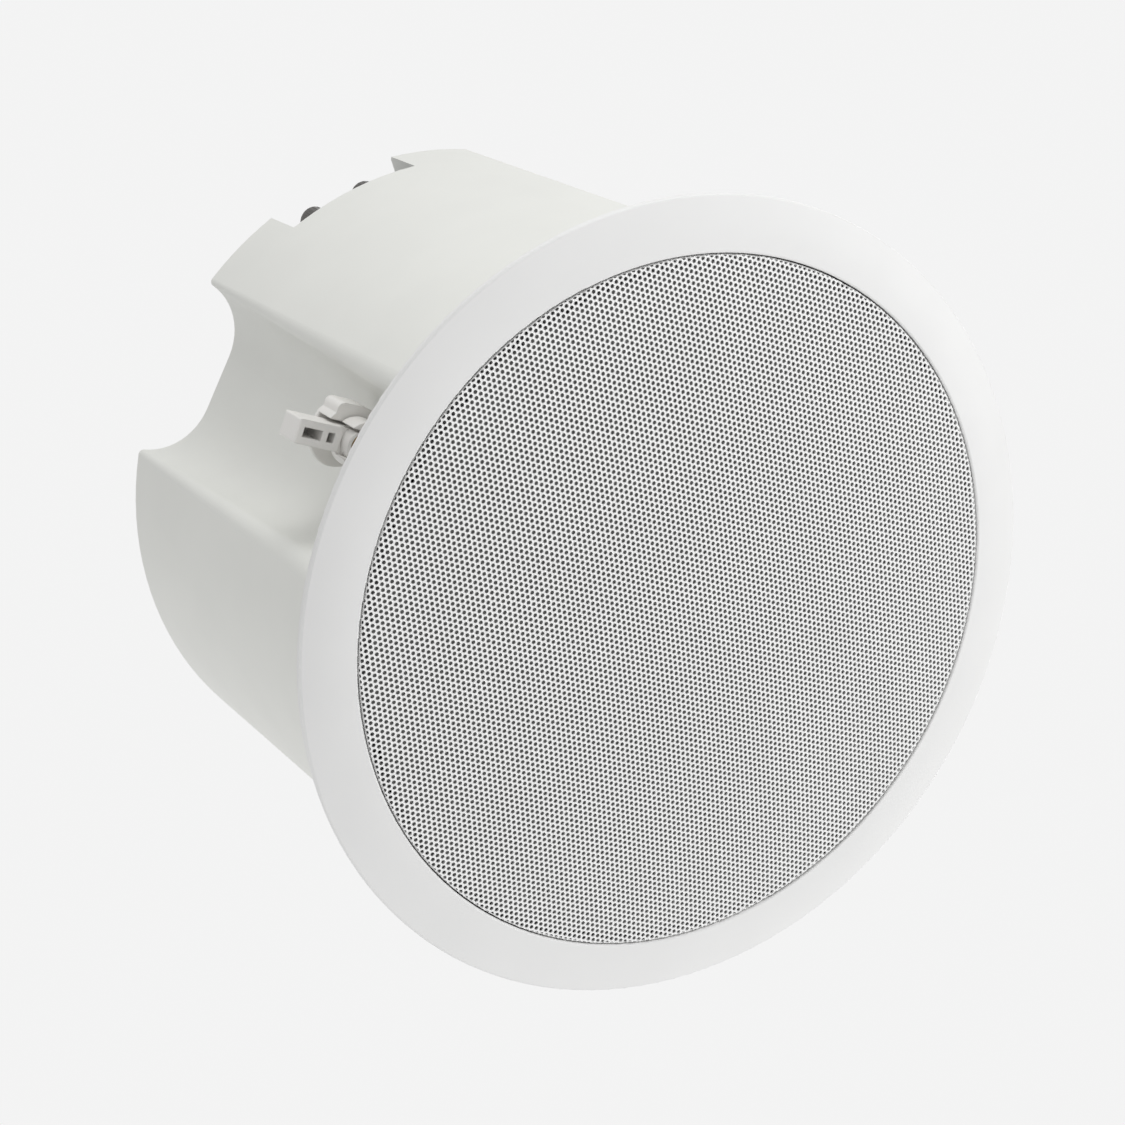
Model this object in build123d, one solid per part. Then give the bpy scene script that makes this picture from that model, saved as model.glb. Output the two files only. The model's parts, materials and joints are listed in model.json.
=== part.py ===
from build123d import *
import math
import os

# In-ceiling loudspeaker, in millimetres, as it hangs in a ceiling. +Z points up into the
# ceiling void and the grille faces down. The origin is the middle of the flange's seat.

# Bezel and baffle, one white moulding
BEZEL_W = 18.6             # width of the flange round the grille
BEZEL_EDGE = 2.6           # thickness of the flange at its outer edge
BEZEL_CROWN = 0.8          # bulge of the flange's face over a straight cone
EDGE_ROUND = 1.2           # rounding of the flange's outer edge
RIM_R = 120.0              # inner radius of the bezel, round the grille
RIM_ROUND = 0.7            # rounding of the bezel's inner rim
RIM_DROP = 7.7             # inner rim below the seat
WELL_WALL = 2.4            # wall between the grille's well and the neck
LEDGE_Z = 3.0              # front face of the baffle above the seat
BAFFLE_T = 4.0             # thickness of the baffle
GRIP_RIBS = 12             # ribs in the well that grip the grille's skirt
GRIP_RIB_W = 6.0           # width of a grip rib
GRIP_RIB_H = 5.0           # height of a grip rib above the ledge
COLLAR_H = 5.0             # collar on the baffle that locates the can
COLLAR_T = 2.0             # thickness of the collar
FIT = 0.3                  # clearance of pieces that drop over one another
SNUG = 0.1                 # clearance of pieces that are glued or pressed

# Grille, a domed and perforated steel sheet, and the cloth behind it
GRILLE_GAP = 0.45          # dark gap between grille and bezel
GRILLE_RISE = 9.0          # height of the dome
GRILLE_T = 0.6             # sheet thickness
GRILLE_BEND = 0.9          # outer radius of the bend from dome to skirt
HOLE_PITCH = 20.0          # pitch of the coarse holes that stand for the fine ones
HOLE_RINGS = 5             # rings of holes round the middle one
HOLE_R = 4.0               # radius of a coarse hole
CLOTH_INSET = 3.2          # edge of the cloth inside the grille's
CLOTH_T = 0.4              # thickness of the cloth

# Back can with four scalloped bays
SEAL_T = 1.0               # seal between baffle and can
CAN_LEN = 164.7            # length of the can
CAN_TAPER = 9.0            # outer radius at the rear less than at the front
CAN_WALL = 3.0             # wall thickness
CAN_EDGE = 1.2             # bevel of the rear edge
BAY_DEPTH_FRONT = 27.6     # depth of a bay at the front
BAY_DEPTH_REAR = 23.4      # and at the rear
BAY_HALF_FRONT = 29.3      # half width of a bay at the front
BAY_HALF_REAR = 31.4       # and at the rear
BAY_FLAT_FRONT = 4.0       # half width of a bay's flat floor at the front
BAY_FLAT_REAR = 10.0       # and at the rear
RIDGE_FRONT = 8.0          # rounding of the ridge beside a bay at the front
RIDGE_REAR = 1.8           # and at the rear
RIDGE_LEAST = 0.5          # least rounding of the ridges inside
BAY_ANGLES = (45, 135, 225, 315)

# Screws that hold the can to the baffle
CAN_SCREW_ANGLES = (0, 90, 180, 270)
CAN_SCREW_LEN = 22.0       # length under the head
CAN_BOSS_R = 4.5           # radius of the can's screw boss
CAN_BOSS_LEN = 30.0        # length of the boss
CAN_RIB_W = 3.0            # rib between boss and wall

# Small screws: shank and head
SCREW_R = 1.75
SCREW_HEAD_R = 3.6
SCREW_HEAD_H = 2.4
SCREW_SLOT_W = 1.1         # width of the cross recess
SCREW_SLOT = 0.6           # its length and depth, as shares of the head's

# Terminal recess in the rear edge, on +Y
RECESS_W = 50.2            # width across
RECESS_DEPTH = 19.0        # depth below the rear face
RECESS_LEN = 37.4          # from the can's outside to its inner wall
TERMINAL_INSET = 11.0      # posts inside the can's rear radius
TERMINAL_PITCH = 21.0      # distance between the posts
PLATE_DEPTH = 24.0         # terminal plate, measured along the radius
PLATE_T = 2.5              # and its thickness
TERMINAL_SLEEVE_R = 3.6    # sleeve of the plate through the recess's floor
TERMINAL_COLLAR = (5.4, 3.4)   # radius and height of the collar under a nut
STUD_R = 2.0               # terminal stud
STUD_TAIL = 7.0            # stud below the recess's floor
STUD_SINK = 0.8            # end of the stud inside its nut
NUT_R = 5.2                # knurled terminal nut
NUT_H = 13.0
NUT_FLUTES = 18
BACK_NUT = (3.8, 2.6)      # radius and height of the nut under the floor

# Clamps: a screw in each bay carries a bush, and a dog swings on the bush
CLAMP_INSET = 14.1         # screw axis inside the neck, along the bay's middle line
CLAMP_ASIDE = 9.1          # screw axis beside that line
CLAMP_FACE_Z = 42.3        # clamping face of the dog above the seat
CLAMP_SCREW_R = 2.1        # core of the screw
CLAMP_THREAD_R = 2.6       # crest of its thread
CLAMP_HEAD_R = 4.6
CLAMP_HEAD_H = 3.0
CLAMP_SCREW_END = 1.5      # screw beyond the bush
CLAMP_BOSS_R = 8.0         # boss on the baffle's back
CLAMP_BOSS_H = 2.5
CLAMP_RING = (4.6, 1.0)    # radius and thickness of the ring that keeps the screw in
RUN = 0.2                  # running clearance of screws and bushes
BUSH_R = 3.5               # bush that the dog swings on
BUSH_FLANGE = (6.5, 1.8)   # radius and thickness of its rear flange
BUSH_LIP = (4.8, 1.0)      # radius and thickness of its front lip
DOG_CORE_R = 5.2           # core round the bush
DOG_HUB_R = 11.6           # hub over the arm, and the disc behind it
DOG_HUB_SETBACK = 5.2      # hub's front behind the clamping face
DOG_HUB_H = 9.8
DOG_DISC_T = 2.0           # thickness of the disc
DOG_SLEEVE_R = 8.4         # sleeve round the screw in front of the hub
DOG_SLEEVE_AHEAD = 4.0     # sleeve in front of the clamping face
DOG_RING_R = 6.4           # what is left of the sleeve beside the arm
DOG_MOUTH = (5.2, 3.0)     # radius and depth of the mouth that takes the bush's lip
DOG_GAP = 1.0              # gap between sleeve and hub
DOG_ARM_LEN = 24.0         # screw axis to tip
DOG_TURN = -6.3            # swing of the arm from the bay's middle line, in degrees
DOG_ARM_W = 8.4
DOG_ARM_H = 11.0
DOG_PAD = (7.2, 1.0)       # clamping pad on the arm: its start from the screw axis, and its height
DOG_PAD_ROUND = 1.2        # rounding of the pad's inner corners
DOG_SLIT = (2.0, 1.2)      # slit over the arm: its start from the screw axis, and its width
DOG_CHEEK = 8.6            # reach of the hub's square corner along the arm
DOG_CHEEK_ROUND = 2.5
DOG_EDGE = 0.7             # rounding of the dog's edges
POCKET_W = 3.4
POCKET_DEPTH = 10.0
POCKET_OUTER = (14.6, 21.7)    # reach of the outer pocket from the screw axis
POCKET_INNER = (9.8, 12.4)     # and of the inner one

# Woofer
BASKET_FLANGE_T = 3.0
BASKET_SHEET = 2.0
BASKET_BACK_R = 60.0       # outside of the basket's back
BASKET_BACK_Z = 46.0       # back face of the basket above the seat
BASKET_WINDOWS = 6
WINDOW_W = 38.0
BASKET_SCREWS = 8
BASKET_SCREW_LEN = 8.0
SURROUND_INSET = 30.5      # surround's lip inside the bezel's inner rim
ROLL_R = 4.6               # radius of the surround's roll
ROLL_T = 0.9
LIP_W = 4.5                # lips of the surround
GASKET_T = 2.0
CONE_T = 1.1
CONE_NECK_Z = 27.0         # front of the cone's neck above the seat
CONE_NECK_H = 5.0
FORMER_R = 19.6            # outer radius of the voice coil former
FORMER_T = 0.5
FORMER_LEN = 32.0
COIL_T = 0.7
COIL_H = 12.0
GAP = 0.5                  # clearance either side of the voice coil
TOP_PLATE_R = 50.0
TOP_PLATE_T = 6.0
MAGNET_INSET = 2.0         # magnet's edge inside the basket's back
MAGNET_HOLE_R = 27.0
MAGNET_T = 16.0
BACK_PLATE_R = 52.0
BACK_PLATE_T = 6.0
SPIDER_T = 0.7
SPIDER_LIFT = 6.0          # spider's waves in front of its seat
SPIDER_WAVE = 1.2
SPIDER_WAVES = 6

# Tweeter on a post through the woofer's pole
POST_R = 5.0
POST_NUT = (8.0, 4.0)      # radius across the corners and height
TWEETER_R = 17.5
TWEETER_FRONT_Z = -4.0     # rim of the housing above the seat
TWEETER_LEN = 16.0
TWEETER_WALL = 1.5
TWEETER_SINK = 2.0         # magnet's face behind the rim
DOME_R = 12.0
DOME_RISE = 4.0
DOME_T = 0.5
FACE_H = 2.5               # face ring in front of the rim

# Crossover, on posts inside the rear wall
BOARD = (90.0, 66.0, 1.6)
BOARD_Y = -20.0
BOARD_POST_H = 8.0
BOARD_POST_R = 3.5
BOARD_INSET = 5.0          # posts from the board's edges
BOARD_SCREW_LEN = 7.0
COIL_CORE = (8.0, 17.0, 14.0)  # inductor: inner and outer radius, height
COIL_PLACE = (-22.0, -32.0)
CAPACITOR = (7.0, 28.0)    # radius and length
CAPACITOR_PLACES = ((22.0, -38.0), (22.0, -18.0))
RESISTOR = (34.0, 10.0, 9.0)
RESISTOR_PLACE = (-18.0, -2.0)

# Leads, from the terminals to the board and from the board to the basket
LEAD_R = 0.9
LEAD_DROP = 12.0           # loop of the input leads below the studs
LEAD_BEND = 5.0            # bend radius
LEAD_EDGE = 5.0            # input leads from the board's edge
DRIVER_LEAD_ANGLES = (225, 315)

# Places that follow from the sizes above
BEZEL_R = RIM_R + BEZEL_W
NECK_R = RIM_R + WELL_WALL
BAFFLE_BACK = LEDGE_Z + BAFFLE_T
CAN_FRONT = BAFFLE_BACK + SEAL_T
CAN_TOP = CAN_FRONT + CAN_LEN
GRILLE_R = RIM_R - GRILLE_GAP
CLOTH_R = GRILLE_R - CLOTH_INSET
CAN_REAR_R = NECK_R - CAN_TAPER
BAY_FLOOR_FRONT = NECK_R - BAY_DEPTH_FRONT
BAY_FLOOR_REAR = CAN_REAR_R - BAY_DEPTH_REAR
RECESS_INNER = CAN_REAR_R - RECESS_LEN
TERMINAL_R = CAN_REAR_R - TERMINAL_INSET
CLAMP_OUT = NECK_R - CLAMP_INSET
SURROUND_LIP_R = RIM_R - SURROUND_INSET
BASKET_THROAT_R = SURROUND_LIP_R - LIP_W + 2 * GAP
OPENING_R = BASKET_THROAT_R + BASKET_SHEET + GAP
CAN_SCREW_R = NECK_R - CAN_WALL - COLLAR_T - CAN_BOSS_R - 3 * FIT
PLATE_SCREW_X = TERMINAL_PITCH / 2 + TERMINAL_COLLAR[0] + SCREW_HEAD_R + FIT
PLATE_W = 2 * (PLATE_SCREW_X + SCREW_HEAD_R + FIT)
BASKET_SCREW_CIRCLE = SURROUND_LIP_R + SCREW_HEAD_R + FIT
BASKET_FLANGE_R = BASKET_SCREW_CIRCLE + SCREW_HEAD_R + FIT
RECESS_FLOOR = CAN_TOP - RECESS_DEPTH
FLANGE_FRONT = LEDGE_Z - BASKET_FLANGE_T
BASKET_SEAT = BASKET_BACK_Z - BASKET_SHEET
MAGNET_R = BASKET_BACK_R - MAGNET_INSET
TOP_PLATE_Z = BASKET_BACK_Z + TOP_PLATE_T
MAGNET_Z = TOP_PLATE_Z + MAGNET_T
MOTOR_Z = MAGNET_Z + BACK_PLATE_T
POLE_R = FORMER_R - FORMER_T - GAP
GAP_R = FORMER_R + COIL_T + GAP
BOARD_TOP = CAN_TOP - CAN_WALL - BOARD_POST_H
BOARD_UNDER = BOARD_TOP - BOARD[2]
UP = (Align.CENTER, Align.CENTER, Align.MIN)


def at(angle, radius):
    """Place on a circle about the speaker's axis, with local X pointing outwards."""
    return Rot(Z=angle) * Pos(radius, 0, 0)


def at_clamp(angle):
    """Place of a clamp's screw in the bay at an angle."""
    return Rot(Z=angle) * Pos(CLAMP_OUT, CLAMP_ASIDE, 0)


def rod(radius, low, high):
    return Pos(0, 0, low) * Cylinder(radius, high - low, align=UP)


def tube(inner, outer, low, high):
    return rod(outer, low, high) - rod(inner, low, high)


def block(x, y, z):
    """Box between two limits along each axis."""
    size = [high - low for low, high in (x, y, z)]
    middle = [(high + low) / 2 for low, high in (x, y, z)]
    return Pos(*middle) * Box(*size)


def outline(*points):
    return make_face(Polyline(*points, close=True))


def turned(face):
    """Solid of revolution about Z from a face drawn in radius and height."""
    return revolve(Plane.XZ * face, Axis.Z)


def cross_head(radius, low, high):
    """Screw head with a cross recess in its lower face."""
    head = turned(fillet_front(radius, low, high))
    reach, depth = radius * SCREW_SLOT, (high - low) * SCREW_SLOT
    for angle in (0, 90):
        slot = block((-reach, reach), (-SCREW_SLOT_W / 2, SCREW_SLOT_W / 2), (low, low + depth))
        head -= Rot(Z=angle) * slot
    return head


def fillet_front(radius, low, high):
    """Half section of a pan head, rounded at its front corner."""
    face = outline((0, low), (radius, low), (radius, high), (0, high))
    corner = face.vertices().sort_by(Axis.X)[-2:].sort_by(Axis.Y)[0]
    return fillet(corner, (high - low) / 2)


def small_screw(face_z, length):
    """Pan head screw driven upwards through a face at height face_z."""
    return cross_head(SCREW_HEAD_R, face_z - SCREW_HEAD_H, face_z) + rod(SCREW_R, face_z, face_z + length)


def group(pieces):
    return Compound(children=[piece.solid() for piece in pieces])


# Can
def along(front, rear, z):
    """Size at height z of something that tapers along the can."""
    return front + (rear - front) * (z - CAN_FRONT) / CAN_LEN


def bay_face(radius, floor, half, flat):
    """Bay cut into a disc: a flat floor and a round side up to a ridge on each hand."""
    ridge = (math.sqrt(radius ** 2 - half ** 2), half)
    rise, run = ridge[0] - floor, half - flat
    bend = (rise ** 2 + run ** 2) / (2 * rise)
    turn = math.atan2(rise - bend, run) / 2 - math.pi / 4
    middle = (floor + bend + bend * math.sin(turn), flat + bend * math.cos(turn))
    side = ThreePointArc((floor, flat), middle, ridge)
    outside = Vector(ridge) * 2
    edges = side + Line(ridge, outside) + mirror(side + Line(ridge, outside), Plane.XZ)
    edges += Line((floor, flat), (floor, -flat)) + Line(outside, (outside.X, -outside.Y))
    return make_face(edges)


def can_section(z, inset):
    """Scalloped outline of the can at height z, drawn in by inset."""
    radius = along(NECK_R, CAN_REAR_R, z) - inset
    floor = along(BAY_FLOOR_FRONT, BAY_FLOOR_REAR, z) - inset
    half = along(BAY_HALF_FRONT, BAY_HALF_REAR, z) + inset
    bay = bay_face(radius, floor, half, along(BAY_FLAT_FRONT, BAY_FLAT_REAR, z))
    disc = Circle(radius)
    for angle in BAY_ANGLES:
        disc -= Rot(Z=angle) * bay
    ridges = [v for v in disc.vertices() if abs(math.hypot(v.X, v.Y) - radius) < 0.001]
    disc = fillet(ridges, max(along(RIDGE_FRONT, RIDGE_REAR, z) - inset, RIDGE_LEAST))
    return Pos(0, 0, z) * disc


def can_core(inset, low, high):
    """Tapered scalloped core between two heights."""
    return loft([can_section(z, inset).face() for z in (low, high)], ruled=True)


def back_can():
    shoulder = CAN_TOP - CAN_EDGE
    outer = can_core(0, CAN_FRONT, shoulder)
    outer += loft([can_section(shoulder, 0).face(), can_section(CAN_TOP, CAN_EDGE).face()], ruled=True)
    half, far = RECESS_W / 2, NECK_R
    recess = block((-half, half), (RECESS_INNER, far), (RECESS_FLOOR, CAN_TOP + CAN_WALL))
    lining = block((-half - CAN_WALL, half + CAN_WALL), (RECESS_INNER - CAN_WALL, far),
                   (RECESS_FLOOR - CAN_WALL, CAN_TOP))
    hollow = can_core(CAN_WALL, CAN_FRONT, CAN_TOP - CAN_WALL) - lining
    can = outer - hollow - recess
    for x in (-TERMINAL_PITCH / 2, TERMINAL_PITCH / 2):
        can -= Pos(x, TERMINAL_R, 0) * rod(TERMINAL_SLEEVE_R + SNUG, RECESS_FLOOR - CAN_WALL, RECESS_FLOOR)
    for x in (-PLATE_SCREW_X, PLATE_SCREW_X):
        can -= Pos(x, TERMINAL_R, 0) * rod(SCREW_R, RECESS_FLOOR - CAN_WALL, RECESS_FLOOR)
    boss_top = BAFFLE_BACK + CAN_BOSS_LEN
    rib = block((0, NECK_R - CAN_SCREW_R), (-CAN_RIB_W / 2, CAN_RIB_W / 2),
                (BAFFLE_BACK + COLLAR_H + FIT, boss_top))
    for angle in CAN_SCREW_ANGLES:
        place = at(angle, CAN_SCREW_R)
        can += place * rod(CAN_BOSS_R, BAFFLE_BACK, boss_top) + (place * rib & outer)
        can -= place * rod(SCREW_R, BAFFLE_BACK, BAFFLE_BACK + CAN_SCREW_LEN)
    for x, y in board_corners():
        can += Pos(x, y, 0) * rod(BOARD_POST_R, BOARD_TOP, CAN_TOP - CAN_WALL)
        can -= Pos(x, y, 0) * rod(SCREW_R, BOARD_TOP, BOARD_UNDER + BOARD_SCREW_LEN)
    return can


def can_seal():
    return can_core(SNUG, BAFFLE_BACK, CAN_FRONT) - can_core(CAN_WALL - SNUG, BAFFLE_BACK, CAN_FRONT)


def can_screws():
    return group([at(angle, CAN_SCREW_R) * small_screw(LEDGE_Z, CAN_SCREW_LEN + BAFFLE_T - FIT)
                  for angle in CAN_SCREW_ANGLES])


# Bezel and baffle
def bezel_baffle():
    inner, outer = (RIM_R, -RIM_DROP), (BEZEL_R, -BEZEL_EDGE)
    slope = math.atan2(outer[1] - inner[1], outer[0] - inner[0])
    crown = ((inner[0] + outer[0]) / 2 + BEZEL_CROWN * math.sin(slope),
             (inner[1] + outer[1]) / 2 - BEZEL_CROWN * math.cos(slope))
    edges = Polyline(outer, (BEZEL_R, 0), (NECK_R, 0), (NECK_R, BAFFLE_BACK), (OPENING_R, BAFFLE_BACK),
                     (OPENING_R, LEDGE_Z), (RIM_R, LEDGE_Z), inner)
    face = make_face(edges + ThreePointArc(inner, crown, outer))
    low = face.vertices().sort_by(Axis.Y)
    face = fillet(low[0], RIM_ROUND)
    edge = [v for v in face.vertices() if abs(v.X - BEZEL_R) < 0.001]
    body = turned(fillet(edge, EDGE_ROUND))
    rib = block((-FIT, GRILLE_GAP - SNUG / 2), (-GRIP_RIB_W / 2, GRIP_RIB_W / 2),
                (LEDGE_Z - GRIP_RIB_H, LEDGE_Z))
    well = tube(GRILLE_R + SNUG / 2, NECK_R - FIT, LEDGE_Z - GRIP_RIB_H, LEDGE_Z)
    for index in range(GRIP_RIBS):
        step = 360 / GRIP_RIBS
        body += well & (Rot(Z=step * (index + 0.5)) * Pos(RIM_R, 0, 0) * Rot(Z=180) * rib)
    top = BAFFLE_BACK + COLLAR_H
    inset = CAN_WALL + FIT
    body += can_core(inset, BAFFLE_BACK, top) - can_core(inset + COLLAR_T, BAFFLE_BACK, top)
    for angle in BAY_ANGLES:
        place = at_clamp(angle)
        body += place * rod(CLAMP_BOSS_R, BAFFLE_BACK, BAFFLE_BACK + CLAMP_BOSS_H)
        body -= place * rod(CLAMP_THREAD_R + RUN, LEDGE_Z, BAFFLE_BACK + CLAMP_BOSS_H)
    for angle in CAN_SCREW_ANGLES:
        body -= at(angle, CAN_SCREW_R) * rod(SCREW_R + SNUG, LEDGE_Z, BAFFLE_BACK)
    for angle in basket_angles():
        body -= at(angle, BASKET_SCREW_CIRCLE) * rod(SCREW_R, LEDGE_Z, BAFFLE_BACK)
    return body


# Grille and cloth
def dome_shell(radius, rise, edge_z, thickness, skirt_z=None):
    """Domed sheet with its edge at edge_z, with an optional skirt up to skirt_z."""
    sphere = (radius ** 2 + rise ** 2) / (2 * rise)
    centre = edge_z - rise + sphere

    def arc(ball, reach):
        start = math.sqrt(ball ** 2 - reach ** 2)
        middle = math.asin(reach / ball) / 2
        return ThreePointArc((0, centre - ball), (ball * math.sin(middle), centre - ball * math.cos(middle)),
                             (reach, centre - start))

    front = arc(sphere, radius)
    inner_reach = radius - thickness if skirt_z is not None else radius
    back = arc(sphere - thickness, inner_reach)
    side = [front @ 1, back @ 1]
    if skirt_z is not None:
        side = [front @ 1, (radius, skirt_z), (inner_reach, skirt_z), back @ 1]
    face = make_face(front + Polyline(*side) + back + Line(front @ 0, back @ 0))
    if skirt_z is not None:
        corner = min(face.vertices(), key=lambda v: math.hypot(v.X - radius, v.Y - edge_z))
        face = fillet(corner, GRILLE_BEND)
    return turned(face)


def hex_places(pitch, rings):
    """Points of a hexagonal pattern about the middle."""
    for row in range(-rings, rings + 1):
        for column in range(-rings, rings + 1):
            if abs(row + column) <= rings:
                yield pitch * (column + row / 2), pitch * row * math.sqrt(3) / 2


def grille():
    sheet = dome_shell(GRILLE_R, GRILLE_RISE, -RIM_DROP, GRILLE_T, LEDGE_Z)
    low = -RIM_DROP - GRILLE_RISE - GRILLE_T
    holes = [Pos(x, y, 0) * rod(HOLE_R, low, 0) for x, y in hex_places(HOLE_PITCH, HOLE_RINGS)]
    return sheet - holes


def grille_cloth():
    ball = (GRILLE_R ** 2 + GRILLE_RISE ** 2) / (2 * GRILLE_RISE) - GRILLE_T - SNUG
    rise = ball - math.sqrt(ball ** 2 - CLOTH_R ** 2)
    apex = -RIM_DROP - GRILLE_RISE + GRILLE_T + SNUG
    return dome_shell(CLOTH_R, rise, apex + rise, CLOTH_T)


# Woofer
def basket_angles():
    return [360 / BASKET_SCREWS * (index + 0.5) for index in range(BASKET_SCREWS)]


def woofer_basket():
    sheet = BASKET_SHEET
    mouth = LEDGE_Z + BASKET_SHEET * 2
    face = outline((BASKET_FLANGE_R, FLANGE_FRONT), (BASKET_FLANGE_R, LEDGE_Z),
                   (BASKET_THROAT_R + sheet, LEDGE_Z), (BASKET_THROAT_R + sheet, mouth + sheet),
                   (BASKET_BACK_R, BASKET_SEAT - sheet), (BASKET_BACK_R, BASKET_BACK_Z),
                   (GAP_R + sheet, BASKET_BACK_Z), (GAP_R + sheet, BASKET_SEAT),
                   (BASKET_BACK_R - sheet, BASKET_SEAT), (BASKET_BACK_R - sheet, BASKET_SEAT - sheet * 1.4),
                   (BASKET_THROAT_R, mouth), (BASKET_THROAT_R, FLANGE_FRONT))
    basket = turned(face)
    window = block((0, BASKET_FLANGE_R), (-WINDOW_W / 2, WINDOW_W / 2),
                   (mouth + sheet * 2, BASKET_SEAT - sheet * 3))
    window -= rod(BASKET_BACK_R - sheet * 2, mouth, BASKET_SEAT)
    for index in range(BASKET_WINDOWS):
        basket -= Rot(Z=360 / BASKET_WINDOWS * index) * window
    for angle in basket_angles():
        basket -= at(angle, BASKET_SCREW_CIRCLE) * rod(SCREW_R + SNUG, FLANGE_FRONT, LEDGE_Z)
    return basket


def basket_screws():
    return group([at(angle, BASKET_SCREW_CIRCLE) * small_screw(FLANGE_FRONT, BASKET_SCREW_LEN)
                  for angle in basket_angles()])


def surround():
    outer = SURROUND_LIP_R - LIP_W
    inner = outer - 2 * ROLL_R
    front = FLANGE_FRONT - ROLL_T
    middle = (outer + inner) / 2
    edges = Polyline((outer, front), (SURROUND_LIP_R, front), (SURROUND_LIP_R, FLANGE_FRONT),
                     (outer - ROLL_T, FLANGE_FRONT))
    edges += ThreePointArc((outer - ROLL_T, FLANGE_FRONT), (middle, FLANGE_FRONT - ROLL_R + ROLL_T),
                           (inner + ROLL_T, FLANGE_FRONT))
    edges += Polyline((inner + ROLL_T, FLANGE_FRONT), (inner - LIP_W, FLANGE_FRONT), (inner - LIP_W, front),
                      (inner, front))
    edges += ThreePointArc((inner, front), (middle, front - ROLL_R), (outer, front))
    return turned(make_face(edges))


def cone_edge():
    """Outer radius of the cone, under the surround's inner lip."""
    return SURROUND_LIP_R - LIP_W - 2 * ROLL_R


def woofer_gasket():
    front = FLANGE_FRONT - ROLL_T
    return tube(SURROUND_LIP_R - LIP_W, SURROUND_LIP_R, front - GASKET_T, front)


def cone():
    edge = cone_edge()
    land = edge - LIP_W
    neck = FORMER_R + SNUG
    back = FLANGE_FRONT + CONE_T
    return turned(outline((neck, CONE_NECK_Z), (land, FLANGE_FRONT), (edge, FLANGE_FRONT), (edge, back),
                          (land + CONE_T / 2, back), (neck + CONE_T, CONE_NECK_Z + CONE_T),
                          (neck + CONE_T, CONE_NECK_Z + CONE_NECK_H), (neck, CONE_NECK_Z + CONE_NECK_H)))


def coil_middle():
    return BASKET_BACK_Z + TOP_PLATE_T / 2


def coil_former():
    end = coil_middle() + COIL_H / 2
    return tube(FORMER_R - FORMER_T, FORMER_R, end - FORMER_LEN, end)


def voice_coil():
    return tube(FORMER_R, FORMER_R + COIL_T, coil_middle() - COIL_H / 2, coil_middle() + COIL_H / 2)


def spider():
    """Corrugated disc from the former out to its seat on the basket."""
    inner, outer = FORMER_R + SNUG, BASKET_BACK_R - BASKET_SHEET - FIT
    foot = outer - LIP_W
    start, end = inner + SPIDER_T * 2, foot - SPIDER_LIFT / 2
    level = BASKET_SEAT - SPIDER_LIFT
    steps = 2 * SPIDER_WAVES
    wave = [(start + (end - start) * k / steps, level - SPIDER_WAVE * (k % 2)) for k in range(steps + 1)]
    path = [(inner, level)] + wave + [(foot, BASKET_SEAT - SPIDER_T), (outer, BASKET_SEAT - SPIDER_T)]
    above = [(r, z + SPIDER_T) for r, z in reversed(path)]
    return turned(outline(*path, *above))


def top_plate():
    return tube(GAP_R, TOP_PLATE_R, BASKET_BACK_Z, TOP_PLATE_Z)


def magnet():
    return tube(MAGNET_HOLE_R, MAGNET_R, TOP_PLATE_Z, MAGNET_Z)


def back_plate():
    bore = POST_R + SNUG
    return turned(outline((bore, BASKET_BACK_Z), (POLE_R, BASKET_BACK_Z), (POLE_R, MAGNET_Z),
                          (BACK_PLATE_R, MAGNET_Z), (BACK_PLATE_R, MOTOR_Z), (bore, MOTOR_Z)))


# Tweeter
def tweeter_back():
    return TWEETER_FRONT_Z + TWEETER_LEN


def tweeter_post():
    return rod(POST_R, tweeter_back(), MOTOR_Z + POST_NUT[1])


def post_nut():
    nut = extrude(RegularPolygon(POST_NUT[0], 6), POST_NUT[1])
    return Pos(0, 0, MOTOR_Z) * nut - rod(POST_R + SNUG, MOTOR_Z, MOTOR_Z + POST_NUT[1])


def tweeter_housing():
    return rod(TWEETER_R, TWEETER_FRONT_Z, tweeter_back()) - rod(
        TWEETER_R - TWEETER_WALL, TWEETER_FRONT_Z, tweeter_back() - TWEETER_WALL)


def tweeter_magnet():
    face = TWEETER_FRONT_Z + TWEETER_SINK
    body = rod(TWEETER_R - TWEETER_WALL - SNUG, face, tweeter_back() - TWEETER_WALL)
    return body - tube(DOME_R - GAP, DOME_R + GAP, face, face + TWEETER_LEN / 2)


def tweeter_dome():
    """Domed diaphragm with a flat lip that lies on the magnet's face."""
    face = TWEETER_FRONT_Z + TWEETER_SINK
    cap = dome_shell(DOME_R + GAP, DOME_RISE, face - DOME_T, DOME_T)
    lip = tube(DOME_R - GAP, TWEETER_R - TWEETER_WALL - FIT, face - DOME_T, face)
    return cap + lip


def tweeter_face():
    inner, outer = TWEETER_R - TWEETER_WALL - FIT, TWEETER_R
    mouth = DOME_R + 2 * GAP
    lip = TWEETER_FRONT_Z + TWEETER_SINK - DOME_T
    front = TWEETER_FRONT_Z - FACE_H
    return turned(outline((mouth, lip), (mouth, lip - DOME_T), (outer - TWEETER_WALL / 2, front),
                          (outer, front), (outer, TWEETER_FRONT_Z), (inner, TWEETER_FRONT_Z), (inner, lip)))


# Crossover
def board_corners():
    half_x, half_y = BOARD[0] / 2 - BOARD_INSET, BOARD[1] / 2 - BOARD_INSET
    return [(x, BOARD_Y + y) for x in (-half_x, half_x) for y in (-half_y, half_y)]


def crossover_board():
    half_x, half_y = BOARD[0] / 2, BOARD[1] / 2
    board = block((-half_x, half_x), (BOARD_Y - half_y, BOARD_Y + half_y), (BOARD_UNDER, BOARD_TOP))
    for x, y in board_corners():
        board -= Pos(x, y, 0) * rod(SCREW_R + SNUG, BOARD_UNDER, BOARD_TOP)
    return board


def board_screws():
    return group([Pos(x, y, 0) * small_screw(BOARD_UNDER, BOARD_SCREW_LEN - FIT) for x, y in board_corners()])


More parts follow.
